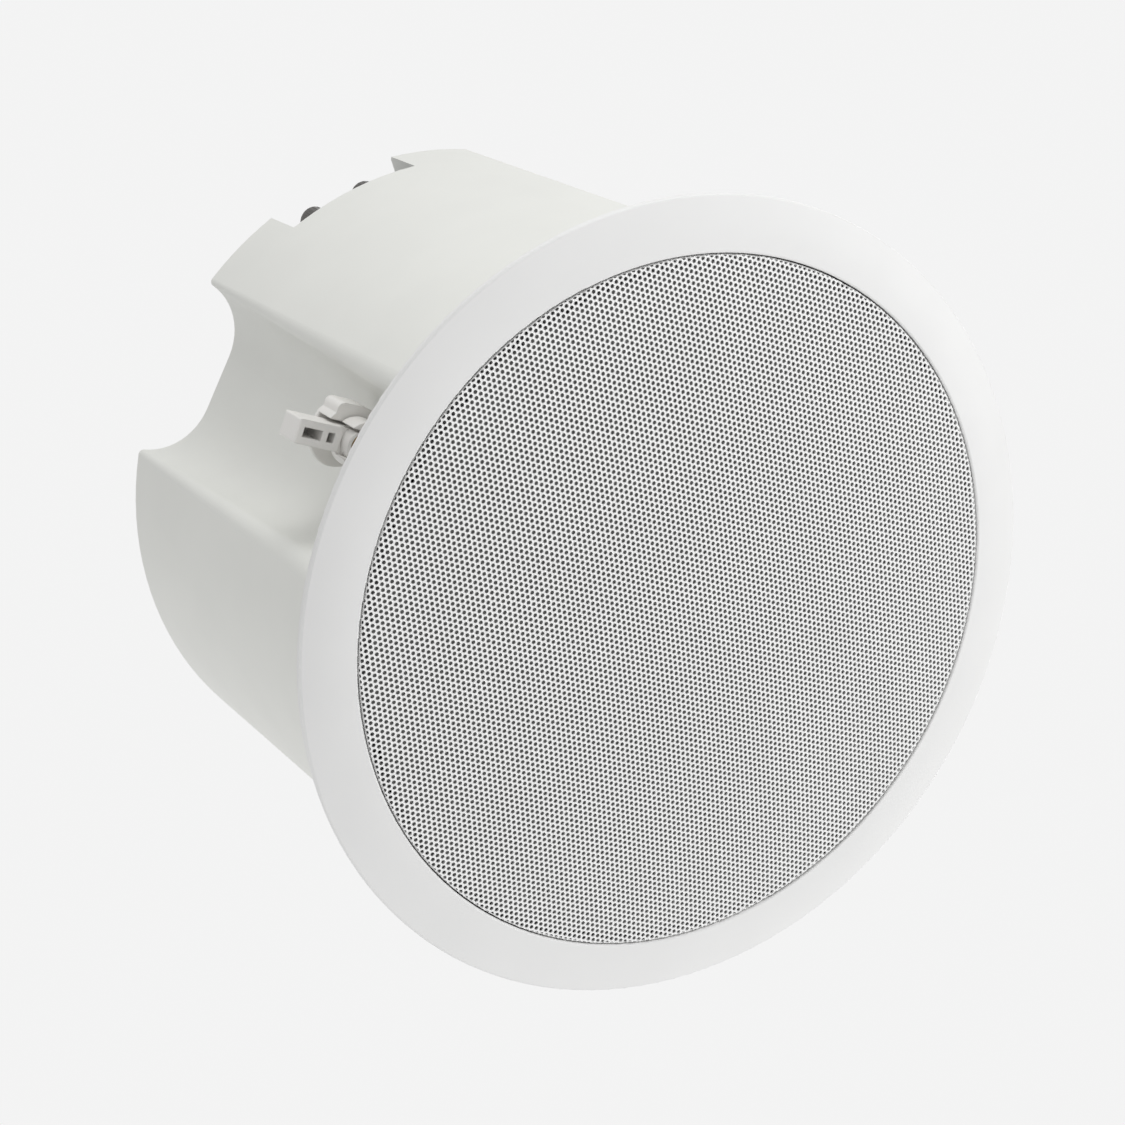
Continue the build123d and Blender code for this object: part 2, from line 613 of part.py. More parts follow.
def inductor():
    inner, outer, height = COIL_CORE
    return Pos(*COIL_PLACE, 0) * tube(inner, outer, BOARD_UNDER - height, BOARD_UNDER)


def capacitors():
    radius, length = CAPACITOR
    body = Rot(0, 90, 0) * Cylinder(radius, length)
    return group([Pos(x, y, BOARD_UNDER - radius) * body for x, y in CAPACITOR_PLACES])


def resistor():
    length, width, height = RESISTOR
    x, y = RESISTOR_PLACE
    return block((x - length / 2, x + length / 2), (y - width / 2, y + width / 2),
                 (BOARD_UNDER - height, BOARD_UNDER))


def input_leads():
    """Two leads from the ends of the studs, under the recess, up to the board."""
    start = RECESS_FLOOR - STUD_TAIL
    low = start - LEAD_DROP
    far = BOARD_Y + BOARD[1] / 2 - LEAD_EDGE
    leads = []
    for x in (-TERMINAL_PITCH / 2, TERMINAL_PITCH / 2):
        points = [(x, TERMINAL_R, start), (x, TERMINAL_R, low), (x, far, low), (x, far, BOARD_UNDER)]
        path = FilletPolyline(*points, radius=LEAD_BEND)
        leads.append(sweep(Plane(path @ 0, z_dir=path % 0) * Circle(LEAD_R), path=path))
    return group(leads)


def driver_leads():
    """Two leads from the board straight down to the back of the basket."""
    lead = rod(LEAD_R, BASKET_BACK_Z, BOARD_UNDER)
    return group([at(angle, MAGNET_R + LEAD_R + SNUG) * lead for angle in DRIVER_LEAD_ANGLES])


# Terminals
def terminal_plate():
    top = RECESS_FLOOR + PLATE_T
    plate = block((-PLATE_W / 2, PLATE_W / 2), (TERMINAL_R - PLATE_DEPTH / 2, TERMINAL_R + PLATE_DEPTH / 2),
                  (RECESS_FLOOR, top))
    limit = along(NECK_R, CAN_REAR_R, RECESS_FLOOR) - CAN_WALL / 2
    plate &= rod(limit, RECESS_FLOOR, top)
    for x in (-PLATE_SCREW_X, PLATE_SCREW_X):
        plate -= Pos(x, TERMINAL_R, 0) * rod(SCREW_R + SNUG, RECESS_FLOOR, top)
    for x in (-TERMINAL_PITCH / 2, TERMINAL_PITCH / 2):
        place = Pos(x, TERMINAL_R, 0)
        plate += place * rod(TERMINAL_COLLAR[0], top, top + TERMINAL_COLLAR[1])
        plate += place * rod(TERMINAL_SLEEVE_R, RECESS_FLOOR - CAN_WALL, RECESS_FLOOR)
        plate -= place * rod(STUD_R + SNUG, RECESS_FLOOR - CAN_WALL, top + TERMINAL_COLLAR[1])
    return plate


def plate_screws():
    screw = Rot(180, 0, 0) * small_screw(0, CAN_WALL + PLATE_T - FIT)
    top = RECESS_FLOOR + PLATE_T
    return group([Pos(x, TERMINAL_R, top) * screw for x in (-PLATE_SCREW_X, PLATE_SCREW_X)])


def nut_seat():
    return RECESS_FLOOR + PLATE_T + TERMINAL_COLLAR[1]


def terminal_stud(x):
    low, high = RECESS_FLOOR - STUD_TAIL, nut_seat() + NUT_H - STUD_SINK
    return Pos(x, TERMINAL_R, 0) * rod(STUD_R, low, high)


def terminal_nut(x):
    """Knurled nut with a rounded top."""
    low, high = nut_seat(), nut_seat() + NUT_H
    face = outline((STUD_R + RUN, low), (NUT_R, low), (NUT_R, high), (STUD_R + RUN, high))
    rim = face.vertices().sort_by(Axis.X)[-2:].sort_by(Axis.Y)[-1]
    nut = turned(fillet(rim, (NUT_R - STUD_R) / 2))
    flute = rod(NUT_R * math.pi / NUT_FLUTES / 2, low, high)
    nut -= [Rot(Z=360 / NUT_FLUTES * k) * Pos(NUT_R + RUN, 0, 0) * flute for k in range(NUT_FLUTES)]
    return Pos(x, TERMINAL_R, 0) * nut


def back_nuts():
    radius, height = BACK_NUT
    top = RECESS_FLOOR - CAN_WALL
    nut = Pos(0, 0, top - height) * extrude(RegularPolygon(radius, 6), height)
    nut -= rod(STUD_R + SNUG, top - height, top)
    return group([Pos(x, TERMINAL_R, 0) * nut for x in (-TERMINAL_PITCH / 2, TERMINAL_PITCH / 2)])


# Clamps, each made at its bay with local X pointing outwards
def clamp_screw(angle):
    screw = cross_head(CLAMP_HEAD_R, LEDGE_Z - CLAMP_HEAD_H, LEDGE_Z)
    screw += rod(CLAMP_SCREW_R, LEDGE_Z, dog_rear() + RUN + BUSH_FLANGE[1] + CLAMP_SCREW_END)
    return at_clamp(angle) * screw


def clamp_ring(angle):
    radius, thick = CLAMP_RING
    low = BAFFLE_BACK + CLAMP_BOSS_H + RUN
    return at_clamp(angle) * tube(CLAMP_SCREW_R, radius, low, low + thick)


def dog_front():
    return CLAMP_FACE_Z - DOG_SLEEVE_AHEAD


def dog_rear():
    return CLAMP_FACE_Z + DOG_HUB_SETBACK + DOG_HUB_H


def bush_seat():
    """Height of the bottom of the dog's mouth, which the bush's lip holds."""
    return dog_front() + DOG_MOUTH[1]


def clamp_bush(angle):
    bore = CLAMP_THREAD_R + SNUG
    low, high = bush_seat() - RUN, dog_rear() + RUN
    (lip_r, lip_t), (flange_r, flange_t) = BUSH_LIP, BUSH_FLANGE
    face = outline((bore, low - lip_t), (lip_r, low - lip_t), (lip_r, low), (BUSH_R, low), (BUSH_R, high),
                   (flange_r, high), (flange_r, high + flange_t), (bore, high + flange_t))
    return at_clamp(angle) * turned(face)


def clamp_dog(angle):
    """Dog of one piece: hub, sleeve and arm on a core, with a gap that opens on the bush above."""
    dog = dog_hub() + dog_sleeve() + dog_arm()
    dog += rod(DOG_CORE_R, CLAMP_FACE_Z + DOG_PAD[1], dog_rear())
    gap, r = CLAMP_FACE_Z + DOG_HUB_SETBACK, DOG_HUB_R
    dog -= block((-r, DOG_SLIT[0]), (0, r), (gap - DOG_GAP, gap))
    dog -= rod(BUSH_R + RUN, dog_front(), dog_rear()) + rod(DOG_MOUTH[0], dog_front(), bush_seat())
    return at_clamp(angle) * Rot(Z=DOG_TURN) * dog


def dog_hub():
    """Hub with a square corner over the arm, cut away beside and below it down to a disc."""
    low, high, r = CLAMP_FACE_Z + DOG_HUB_SETBACK, dog_rear(), DOG_HUB_R
    start, width = DOG_SLIT
    corner = block((-DOG_CHEEK_ROUND, DOG_CHEEK), (-DOG_CHEEK_ROUND, r), (low, high))
    corner = fillet(corner.edges().filter_by(Axis.Z).group_by(Axis.X)[-1], DOG_CHEEK_ROUND)
    hub = rod(r, low, high) + (corner & block((0, r), (0, r), (low, high)))
    hub -= block((start, 2 * r), (-r, DOG_ARM_W / 2 + width), (low, high))
    hub -= block((-r, start), (-r, 0), (low, high))
    disc = rod(r, high - DOG_DISC_T, high)
    return hub + fillet(disc.edges().filter_by(GeomType.CIRCLE), DOG_EDGE)


def dog_sleeve():
    """Sleeve round the screw, slotted for the arm."""
    low, high, r = dog_front(), CLAMP_FACE_Z + DOG_HUB_SETBACK - DOG_GAP, DOG_SLEEVE_R
    start, width = DOG_SLIT
    half = DOG_ARM_W / 2
    window = block((0, r), (-half - width / 2, half + width), (low, CLAMP_FACE_Z + DOG_PAD[1]))
    window -= rod(DOG_RING_R, low, high)
    slit = block((start, r), (half, half + width), (low, high))
    return rod(r, low, high) - window - slit


def dog_arm():
    """Arm with a raised clamping pad and two pockets."""
    face, half = CLAMP_FACE_Z, DOG_ARM_W / 2
    start, height = DOG_PAD
    arm = block((0, DOG_ARM_LEN), (-half, half), (face + height, face + DOG_ARM_H))
    pad = block((start, DOG_ARM_LEN), (-half, half), (face, face + height))
    arm += fillet(pad.edges().filter_by(Axis.Z).sort_by(Axis.X)[:2], DOG_PAD_ROUND)
    arm = fillet(arm.faces().sort_by(Axis.X)[-1].edges(), DOG_EDGE)
    for near, far in (POCKET_INNER, POCKET_OUTER):
        arm -= block((near, far), (-POCKET_W / 2, POCKET_W / 2), (face, face + POCKET_DEPTH))
    return arm


# Every piece of the speaker, by name
nodes = {
    "bezel_baffle": bezel_baffle(),
    "grille": grille(),
    "grille_cloth": grille_cloth(),
    "back_can": back_can(),
    "can_seal": can_seal(),
    "can_screws": can_screws(),
    "woofer_basket": woofer_basket(),
    "basket_screws": basket_screws(),
    "surround": surround(),
    "woofer_gasket": woofer_gasket(),
    "cone": cone(),
    "coil_former": coil_former(),
    "voice_coil": voice_coil(),
    "spider": spider(),
    "top_plate": top_plate(),
    "magnet": magnet(),
    "back_plate": back_plate(),
    "tweeter_post": tweeter_post(),
    "post_nut": post_nut(),
    "tweeter_housing": tweeter_housing(),
    "tweeter_magnet": tweeter_magnet(),
    "tweeter_dome": tweeter_dome(),
    "tweeter_face": tweeter_face(),
    "crossover_board": crossover_board(),
    "board_screws": board_screws(),
    "inductor": inductor(),
    "capacitors": capacitors(),
    "resistor": resistor(),
    "input_leads": input_leads(),
    "driver_leads": driver_leads(),
    "terminal_plate": terminal_plate(),
    "plate_screws": plate_screws(),
    "back_nuts": back_nuts(),
}
for number, x in enumerate((-TERMINAL_PITCH / 2, TERMINAL_PITCH / 2), start=1):
    nodes[f"terminal_stud_{number}"] = terminal_stud(x)
    nodes[f"terminal_nut_{number}"] = terminal_nut(x)
for number, angle in enumerate(BAY_ANGLES, start=1):
    nodes[f"clamp_screw_{number}"] = clamp_screw(angle)
    nodes[f"clamp_ring_{number}"] = clamp_ring(angle)
    nodes[f"clamp_bush_{number}"] = clamp_bush(angle)
    nodes[f"clamp_dog_{number}"] = clamp_dog(angle)

os.makedirs("parts", exist_ok=True)
for name, piece in nodes.items():
    export_step(piece, f"parts/{name}.step")
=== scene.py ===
# %% [markdown]
# # A round ceiling loudspeaker
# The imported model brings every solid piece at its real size: flange and baffle, back can, clamps,
# terminals and the two drivers inside. This script dresses that frame. It gives every solid a
# finish, cuts the fine holes of the grille, and sets up a plain white studio. Lengths are in
# metres. The speaker hangs as in a ceiling, so its grille faces down and its can points up.

# %% The frame
import json
import math

import bpy
import numpy as np
from mathutils import Matrix, Vector
from mathutils.geometry import delaunay_2d_cdt


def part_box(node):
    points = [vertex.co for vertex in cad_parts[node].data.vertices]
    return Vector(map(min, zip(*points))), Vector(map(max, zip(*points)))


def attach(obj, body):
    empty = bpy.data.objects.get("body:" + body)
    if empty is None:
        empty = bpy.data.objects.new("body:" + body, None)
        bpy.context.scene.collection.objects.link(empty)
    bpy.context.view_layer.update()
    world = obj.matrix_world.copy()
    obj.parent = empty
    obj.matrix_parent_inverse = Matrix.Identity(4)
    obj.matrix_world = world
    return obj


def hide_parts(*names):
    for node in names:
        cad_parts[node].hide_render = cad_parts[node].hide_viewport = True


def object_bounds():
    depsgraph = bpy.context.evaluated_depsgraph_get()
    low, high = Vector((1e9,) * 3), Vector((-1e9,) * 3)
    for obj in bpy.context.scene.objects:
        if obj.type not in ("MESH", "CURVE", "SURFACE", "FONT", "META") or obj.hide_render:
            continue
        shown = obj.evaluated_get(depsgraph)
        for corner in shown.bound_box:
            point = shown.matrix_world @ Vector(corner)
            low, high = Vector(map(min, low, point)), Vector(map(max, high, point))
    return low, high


MM = 0.001
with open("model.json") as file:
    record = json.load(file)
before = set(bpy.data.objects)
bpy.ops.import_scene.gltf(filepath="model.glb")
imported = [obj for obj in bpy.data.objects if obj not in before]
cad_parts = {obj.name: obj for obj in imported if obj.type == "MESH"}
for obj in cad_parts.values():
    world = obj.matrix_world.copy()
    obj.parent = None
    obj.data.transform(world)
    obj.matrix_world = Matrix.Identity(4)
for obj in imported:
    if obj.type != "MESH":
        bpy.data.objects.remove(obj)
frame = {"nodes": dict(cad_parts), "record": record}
cad_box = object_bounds()
solids = frame["nodes"]
print("solids:", len(solids), "box:", [round(side, 4) for side in cad_box[1] - cad_box[0]])

# %% [markdown]
# ## Shader maths as Python
# A finish is a small graph of nodes. Writing it link by link hides what it does, so a wire (an
# output socket) gets Python's own operators, and each expression adds the Math nodes it needs.
# The reflected forms let a number stand first, as in 1 - crossing.


# %% Wires
class Wire:
    """An output socket on a board. Arithmetic on it adds Math nodes."""

    def __init__(self, board, socket):
        self.board, self.socket = board, socket

    def maths(self, operation, *values):
        return self.board.node("Math", {"operation": operation}, dict(enumerate(values)))

    def __add__(self, other):
        return self.maths("ADD", self, other)

    __radd__ = __add__

    def __mul__(self, other):
        return self.maths("MULTIPLY", self, other)

    __rmul__ = __mul__

    def __sub__(self, other):
        return self.maths("SUBTRACT", self, other)

    def __rsub__(self, other):
        return self.maths("SUBTRACT", other, self)

    def between(self, low, high):
        """A number that runs from low to high as this wire runs from 0 to 1."""
        return self * (high - low) + low

    def tint(self, first, second):
        """A colour that runs from first to second as this wire runs from 0 to 1."""
        return self.board.node("Mix", {"data_type": "RGBA"},
                               {"Factor": self, "A": (*first, 1), "B": (*second, 1)}, "Result")


print("wires can be added, subtracted, multiplied and turned into colours")

# %% [markdown]
# Nodes live in a tree, that of a material or of the world, and a board wraps such a tree. One
# method makes every node: it sets the node up first and then fills its sockets with values or
# wires. The methods after it are small graphs that most finishes share.


# %% Boards
class Board:
    """The node tree of a material or of the world."""

    def __init__(self, owner):
        owner.use_nodes = True
        self.tree = owner.node_tree
        self.tree.nodes.clear()

    def node(self, kind, settings=None, inputs=None, output=0):
        made = self.tree.nodes.new("ShaderNode" + kind)
        for name, value in (settings or {}).items():
            setattr(made, name, value)
        for name, value in (inputs or {}).items():
            socket = self.pick(made.inputs, name)
            if isinstance(value, Wire):
                self.tree.links.new(value.socket, socket)
            else:
                socket.default_value = value
        return Wire(self, self.pick(made.outputs, output)) if len(made.outputs) else made

    @staticmethod
    def pick(sockets, name):
        """The enabled socket of that name, because a Mix node keeps one set for each data type."""
        if isinstance(name, int):
            return sockets[name]
        return next(socket for socket in sockets if socket.name == name and socket.enabled)

    def place(self):
        """Position on the object. The solids sit at the origin, so this is the frame's own."""
        return self.node("TexCoord", output="Object")

    def noise(self, size, detail=2.0, stretch=(1, 1, 1)):
        """Cloudy values between 0 and 1 whose patches are about that size."""
        place = self.node("Mapping", {"vector_type": "POINT"}, {"Vector": self.place(), "Scale": stretch})
        return self.node("TexNoise", {}, {"Vector": place, "Scale": 1 / size, "Detail": detail})

    def bump(self, height, depth, edge=0.0):
        """Normal of a bumpy skin, with sharp edges softened to a radius if edge is given."""
        inputs = {"Height": height, "Distance": depth}
        if edge:
            inputs["Normal"] = self.node("Bevel", {}, {"Radius": edge})
        return self.node("Bump", {}, inputs, "Normal")

    def surface(self, inputs):
        shader = self.node("BsdfPrincipled", {}, inputs)
        self.node("OutputMaterial", {}, {"Surface": shader})


print("shader helpers ready")

# %% [markdown]
# ## Moulded plastic
# The flange, the can and the clamps are injection mouldings. The tool's wall is spark eroded, so
# the skin carries a very fine grain and is satin rather than glossy. A picture of grain would
# need unwrapping; noise in the frame's own position needs none and has a real size in
# millimetres. The colour drifts a little over centimetres, as mixed pellets do.

# %% Moulding and paint
DRIFT_SIZE = 28 * MM
ROUGH_SWING = 0.06
finishes = {}


def shade(colour, share):
    return tuple(part * share for part in colour)


def moulding(name, colour, grain, depth, roughness, drift=0.03, edge=0.0):
    """Satin plastic with a fine eroded grain of a given size and depth, and soft edges if wanted."""
    finishes[name] = material = bpy.data.materials.new(name)
    board = Board(material)
    cloud = board.noise(DRIFT_SIZE)
    speck = board.noise(grain)
    board.surface({
        "Base Color": cloud.tint(shade(colour, 1 - drift), shade(colour, 1 + drift)),
        "Roughness": speck.between(roughness - ROUGH_SWING, roughness + ROUGH_SWING),
        "Normal": board.bump(speck, depth, edge),
    })


moulding("white_moulding", (0.835, 0.835, 0.83), 0.5 * MM, 0.004 * MM, 0.5)
moulding("can_plastic", (0.81, 0.816, 0.780), 0.6 * MM, 0.008 * MM, 0.5)
moulding("clamp_plastic", (0.80, 0.787, 0.760), 0.8 * MM, 0.02 * MM, 0.4, drift=0.05, edge=0.6 * MM)
moulding("terminal_black", (0.022, 0.022, 0.023), 0.6 * MM, 0.02 * MM, 0.5)
moulding("tweeter_plastic", (0.04, 0.04, 0.042), 0.6 * MM, 0.02 * MM, 0.45)
moulding("cone_plastic", (0.05, 0.05, 0.052), 1.2 * MM, 0.03 * MM, 0.4)
moulding("ceramic", (0.72, 0.71, 0.68), 0.4 * MM, 0.03 * MM, 0.75)
moulding("film", (0.62, 0.40, 0.06), 3 * MM, 0.02 * MM, 0.25)
moulding("board", (0.03, 0.17, 0.07), 2 * MM, 0.01 * MM, 0.35, drift=0.15)
moulding("seal", (0.06, 0.06, 0.062), 0.35 * MM, 0.06 * MM, 0.85)
moulding("surround_rubber", (0.03, 0.03, 0.031), 0.5 * MM, 0.02 * MM, 0.6)
moulding("lead", (0.36, 0.02, 0.018), 0.8 * MM, 0.01 * MM, 0.45)
moulding("ferrite", (0.07, 0.07, 0.075), 0.7 * MM, 0.05 * MM, 0.7, drift=0.12)
moulding("grille_paint", (0.955, 0.955, 0.95), 0.7 * MM, 0.006 * MM, 0.4)
moulding("basket_paint", (0.025, 0.025, 0.026), 0.9 * MM, 0.02 * MM, 0.35)
print("moulded and painted finishes:", len(finishes))

# %% [markdown]
# ## Metal
# Screws are zinc plated, terminals nickel plated, bushes turned brass. Plate shows fine scratches
# from turning and handling. They are noise stretched along one direction: long streaks in the
# roughness and a trace of them in the bump.

# %% Plated and turned metal
STREAK_SIZE, STREAK_DEPTH, STREAK_DETAIL = 0.5 * MM, 0.004 * MM, 3.0
SMOOTHER, ROUGHER = 0.08, 0.12
STAIN_SIZE, STAINED = 6 * MM, 0.88


def plate(name, colour, roughness, stretch):
    """Metal with streaks that are long where stretch is small."""
    finishes[name] = material = bpy.data.materials.new(name)
    board = Board(material)
    streak = board.noise(STREAK_SIZE, STREAK_DETAIL, stretch)
    cloud = board.noise(STAIN_SIZE)
    board.surface({
        "Base Color": cloud.tint(shade(colour, STAINED), colour),
        "Metallic": 1.0,
        "Roughness": streak.between(roughness - SMOOTHER, roughness + ROUGHER),
        "Normal": board.bump(streak, STREAK_DEPTH),
    })


AROUND, WOUND = (0.2, 0.2, 4.0), (0.3, 0.3, 5.0)
plate("zinc_steel", (0.60, 0.60, 0.585), 0.3, AROUND)
# painted reflection: the nickel gets a near-black base colour in place of the dark surroundings the plated
# nuts reflect
plate("nickel", (0.12, 0.115, 0.11), 0.22, AROUND)
# painted shade: the brass is darkened so the bush looks as dark as the hollow and gap it sits in
plate("bush_brass", (0.34, 0.22, 0.09), 0.34, AROUND)
plate("former", (0.74, 0.74, 0.75), 0.3, AROUND)
plate("coil_wire", (0.58, 0.24, 0.10), 0.35, WOUND)
print("finishes with the metals:", len(finishes))

# %% [markdown]
# ## Woven cloth
# Behind the holes hangs a grey acoustic cloth, and the spider and the tweeter's dome are woven
# too. A weave is two sets of threads at right angles. Two wave textures multiplied together give
# the crossings a height, which is enough at the size of a thread, and the dips between crossings
# get a painted shade. A wave texture of scale 1 repeats after WAVE_LENGTH, so that length over
# the thread's width is the scale to use.

# %% Woven finishes
WAVE_LENGTH = 0.314
WAVER = 0.6
# share of the colour left in the dips between crossings: painted shade
PAINTED_DIP_SHADE = 0.6
WEAVE_DEPTH = 0.08 * MM
SHEEN = 0.2


def weave(name, colour, thread, roughness):
    """Cloth of crossing threads of a given width, with painted shade in the dips between crossings."""
    finishes[name] = material = bpy.data.materials.new(name)
    board = Board(material)
    place = board.place()
    lines = [board.node("TexWave", {"bands_direction": axis},
                        {"Vector": place, "Scale": WAVE_LENGTH / thread, "Distortion": WAVER}, "Fac")
             for axis in ("X", "Y")]
    crossing = lines[0] * lines[1]
    # painted shade: the colour darkens where the threads sink between crossings
    dip_shade = 1 - crossing
    board.surface({
        "Base Color": dip_shade.tint(colour, shade(colour, PAINTED_DIP_SHADE)),
        "Roughness": roughness,
        "Sheen Weight": SHEEN,
        "Normal": board.bump(crossing, WEAVE_DEPTH),
    })


weave("cloth", (0.23, 0.23, 0.225), 0.35 * MM, 0.9)
weave("spider_cloth", (0.50, 0.36, 0.16), 0.6 * MM, 0.85)
weave("dome_silk", (0.07, 0.07, 0.072), 0.3 * MM, 0.6)
for row in frame["record"]["subparts"]:
    mesh = solids[row["node"]].data
    mesh.materials.clear()
    mesh.materials.append(finishes[row["material_slot"]])
print("finishes in all:", len(finishes), "put on solids:", len(solids))

# %% [markdown]
# ## The grille
# The grille is a disc of perforated steel, pressed into a shallow dome with a turned-up skirt and
# painted white. Its holes stand on a triangular lattice. An alpha texture would look flat, and a
# boolean with thousands of cutters would never end. So the sheet is built as the press builds
# it: first a flat blank with its holes, then every point is carried onto the dressed profile.
# Between three neighbouring holes lies a small triangle, and along each side half a strip.

# %% The profile of the pressed sheet
HOLE_PITCH = 2.0 * MM
HOLE_R = 0.71 * MM
HOLE_SIDES = 12
ROW_ANGLE = math.radians(40.9)
SHEET_T = 0.45 * MM
DOME_RISE = 9.0 * MM
BEND_R = 0.9 * MM
TINY = 1e-9
grille_low, grille_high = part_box("grille")
grille_r, skirt_end = grille_high.x, grille_high.z
ball_r = (grille_r ** 2 + DOME_RISE ** 2) / (2 * DOME_RISE)
ball_z = grille_low.z + ball_r
bend_r = grille_r - BEND_R
bend_z = ball_z - math.sqrt((ball_r - BEND_R) ** 2 - bend_r ** 2)
bend_angle = math.asin(bend_r / (ball_r - BEND_R))
bend_start = ball_r * bend_angle
bend_end = bend_start + BEND_R * (math.pi / 2 - bend_angle)


def press(flat, depth):
    """Carries points of the flat blank onto the dome, bend and skirt, at a depth in the sheet."""
    reach = np.hypot(flat[:, 0], flat[:, 1])
    tilt = np.where(reach < bend_start, reach / ball_r,
                    np.minimum(bend_angle + (reach - bend_start) / BEND_R, math.pi / 2))
    on_dome = reach < bend_start
    round_r = np.where(on_dome, ball_r, BEND_R) - depth
    out = np.where(on_dome, 0, bend_r) + round_r * np.sin(tilt)
    height = np.where(on_dome, ball_z, bend_z) - round_r * np.cos(tilt) + np.maximum(reach - bend_end, 0)
    unit = flat / np.maximum(reach, TINY)[:, None]
    return np.column_stack([unit * out[:, None], height])


print("blank radius to the bend:", round(bend_end / MM, 2), "mm")

# %% [markdown]
# The holes go on round the bend and a little way up the skirt. Rows of a triangular lattice lie
# closer together than its pitch, so some spare rows are laid out and those off the blank dropped.


# %% The holes of the blank
def circle(sides, start=0.0):
    """Evenly spaced points of a circle of radius 1."""
    turns = start + np.arange(sides) * 2 * math.pi / sides
    return np.column_stack([np.cos(turns), np.sin(turns)])


SKIRT_HOLES = 1.2 * MM
EDGE_WEB = 0.1 * MM
SPARE_ROWS = 1.3
BLANK_R = bend_end + SKIRT_HOLES
step = [np.array([math.cos(ROW_ANGLE + turn), math.sin(ROW_ANGLE + turn)]) * HOLE_PITCH
        for turn in (0, math.pi / 3)]
last_row = int(BLANK_R / HOLE_PITCH * SPARE_ROWS)
span = np.arange(-last_row, last_row + 1)
column, row = (grid.ravel() for grid in np.meshgrid(span, span, indexing="ij"))
centre = column[:, None] * step[0] + row[:, None] * step[1]
kept = np.hypot(*centre.T) < BLANK_R - HOLE_R - EDGE_WEB
number = np.where(kept, np.cumsum(kept) - 1, -1).reshape(len(span), len(span))
centre = centre[kept]
ring = HOLE_R * circle(HOLE_SIDES, ROW_ANGLE)
blank = (centre[:, None, :] + ring).reshape(-1, 2)
print("holes:", len(centre))

# %% [markdown]
# Three neighbouring holes make a trio. In an upward trio the middle lies at 30, 150 and 270 degrees
# from its holes, and in a downward one at 90, 210 and 330. A hole with twelve sides has a corner at
# each of those angles, so the small triangle and the half strips need no further points.

# %% The sheet between the holes
UPWARD, DOWNWARD = (1, 5, 9), (3, 7, 11)
trios = [(np.stack([number[:-1, :-1], number[1:, :-1], number[:-1, 1:]]), UPWARD),
         (np.stack([number[1:, :-1], number[1:, 1:], number[:-1, 1:]]), DOWNWARD)]


def corner(hole, side):
    """Number of a hole's corner among the points of the blank."""
    return hole * HOLE_SIDES + side % HOLE_SIDES


def quads(a, b, c, d):
    """Two triangles for every face with the corners a, b, c and d."""
    return np.vstack([np.stack([a, b, c], axis=1), np.stack([a, c, d], axis=1)])


triangles, seams, whole = [], [], []
around = np.zeros(len(centre), int)
for holes, sides in trios:
    full = (holes >= 0).all(axis=0)
    whole.append(full)
    trio = holes[:, full]
    np.add.at(around, trio.ravel(), 1)
    triangles.append(np.stack([corner(trio[k], sides[k]) for k in range(3)], axis=1))
    for k in range(3):
        here, there = trio[k], trio[(k + 1) % 3]
        a, b = corner(here, sides[k] - 1), corner(there, sides[(k + 1) % 3] + 1)
        c, d = corner(there, sides[(k + 1) % 3]), corner(here, sides[k])
        triangles.append(quads(a, b, c, d))
        seams.append((here, there, a, b))
print("triangles between holes:", sum(map(len, triangles)))

# %% [markdown]
# At the edge of the blank the lattice ends in steps. The ragged band between the last holes and
# the round edge has no pattern, so a constrained Delaunay triangulation fills it: it takes the
# outlines as given and joins up what lies between. A hole inside the lattice has six trios round
# it, and one with fewer belongs to the outline of the band.

# %% The ragged band at the edge
EDGE_SIDES = 360
TRIOS_ROUND = 6
MERGE = 1e-6
edge_circle = circle(EDGE_SIDES)
edge_first = len(blank)
blank = np.vstack([blank, BLANK_R * edge_circle])
outer_holes = np.flatnonzero(around < TRIOS_ROUND)
is_outer = np.zeros(len(centre), bool)
is_outer[outer_holes] = True
ids = np.concatenate([(outer_holes[:, None] * HOLE_SIDES + np.arange(HOLE_SIDES)).ravel(),
                      edge_first + np.arange(EDGE_SIDES)])
local = {int(point): index for index, point in enumerate(ids)}
lines = [(corner(hole, k), corner(hole, k + 1)) for hole in outer_holes for k in range(HOLE_SIDES)]
lines += [(edge_first + k, edge_first + (k + 1) % EDGE_SIDES) for k in range(EDGE_SIDES)]
for here, there, a, b in seams:
    both = is_outer[here] & is_outer[there]
    lines += list(zip(a[both], b[both]))
found = delaunay_2d_cdt([Vector(blank[point] / MM) for point in ids],
                        [(local[int(a)], local[int(b)]) for a, b in lines], [], 0, MERGE)
print("holes in the outline:", len(outer_holes), "faces found:", len(found[2]))

# %% [markdown]
# The triangulation fills the holes too, and the trios that have their sheet already. Both go: a
# triangle in a hole has all its corners on that hole, and one in a whole trio has its middle in
# that trio's half of a lattice cell. The rest is turned so that all triangles face the same way.

# %% The triangles of the band
origin = [ids[first[0]] if first else -1 for first in found[3]]
band = np.array([[origin[point] for point in face] for face in found[2] if len(face) == 3])
same_hole = (band < edge_first).all(axis=1) & (np.ptp(band // HOLE_SIDES, axis=1) == 0)
middle = blank[band].mean(axis=1)
grid = np.linalg.solve(np.column_stack(step), middle.T)
cell = np.floor(grid).astype(int) + last_row
down = (grid - np.floor(grid)).sum(axis=0) > 1
inside = np.all((cell >= 0) & (cell < len(span) - 1), axis=0)
cell = np.clip(cell, 0, len(span) - 2)
filled = inside & np.where(down, whole[1][cell[0], cell[1]], whole[0][cell[0], cell[1]])
band = band[~same_hole & ~filled & (band >= 0).all(axis=1)]
first, second, third = (blank[band[:, k]] for k in range(3))
turn = (second - first)[:, 0] * (third - first)[:, 1] - (second - first)[:, 1] * (third - first)[:, 0]
band[turn < 0] = band[turn < 0][:, ::-1]
triangles = np.vstack(triangles + [band])
print("triangles in the band:", len(band))

# %% [markdown]
# The blank now gets its thickness: the same triangles on the back, turned over, and a wall in
# each hole. One mesh of that size is slow to handle, so the sheet is stored in six sectors.


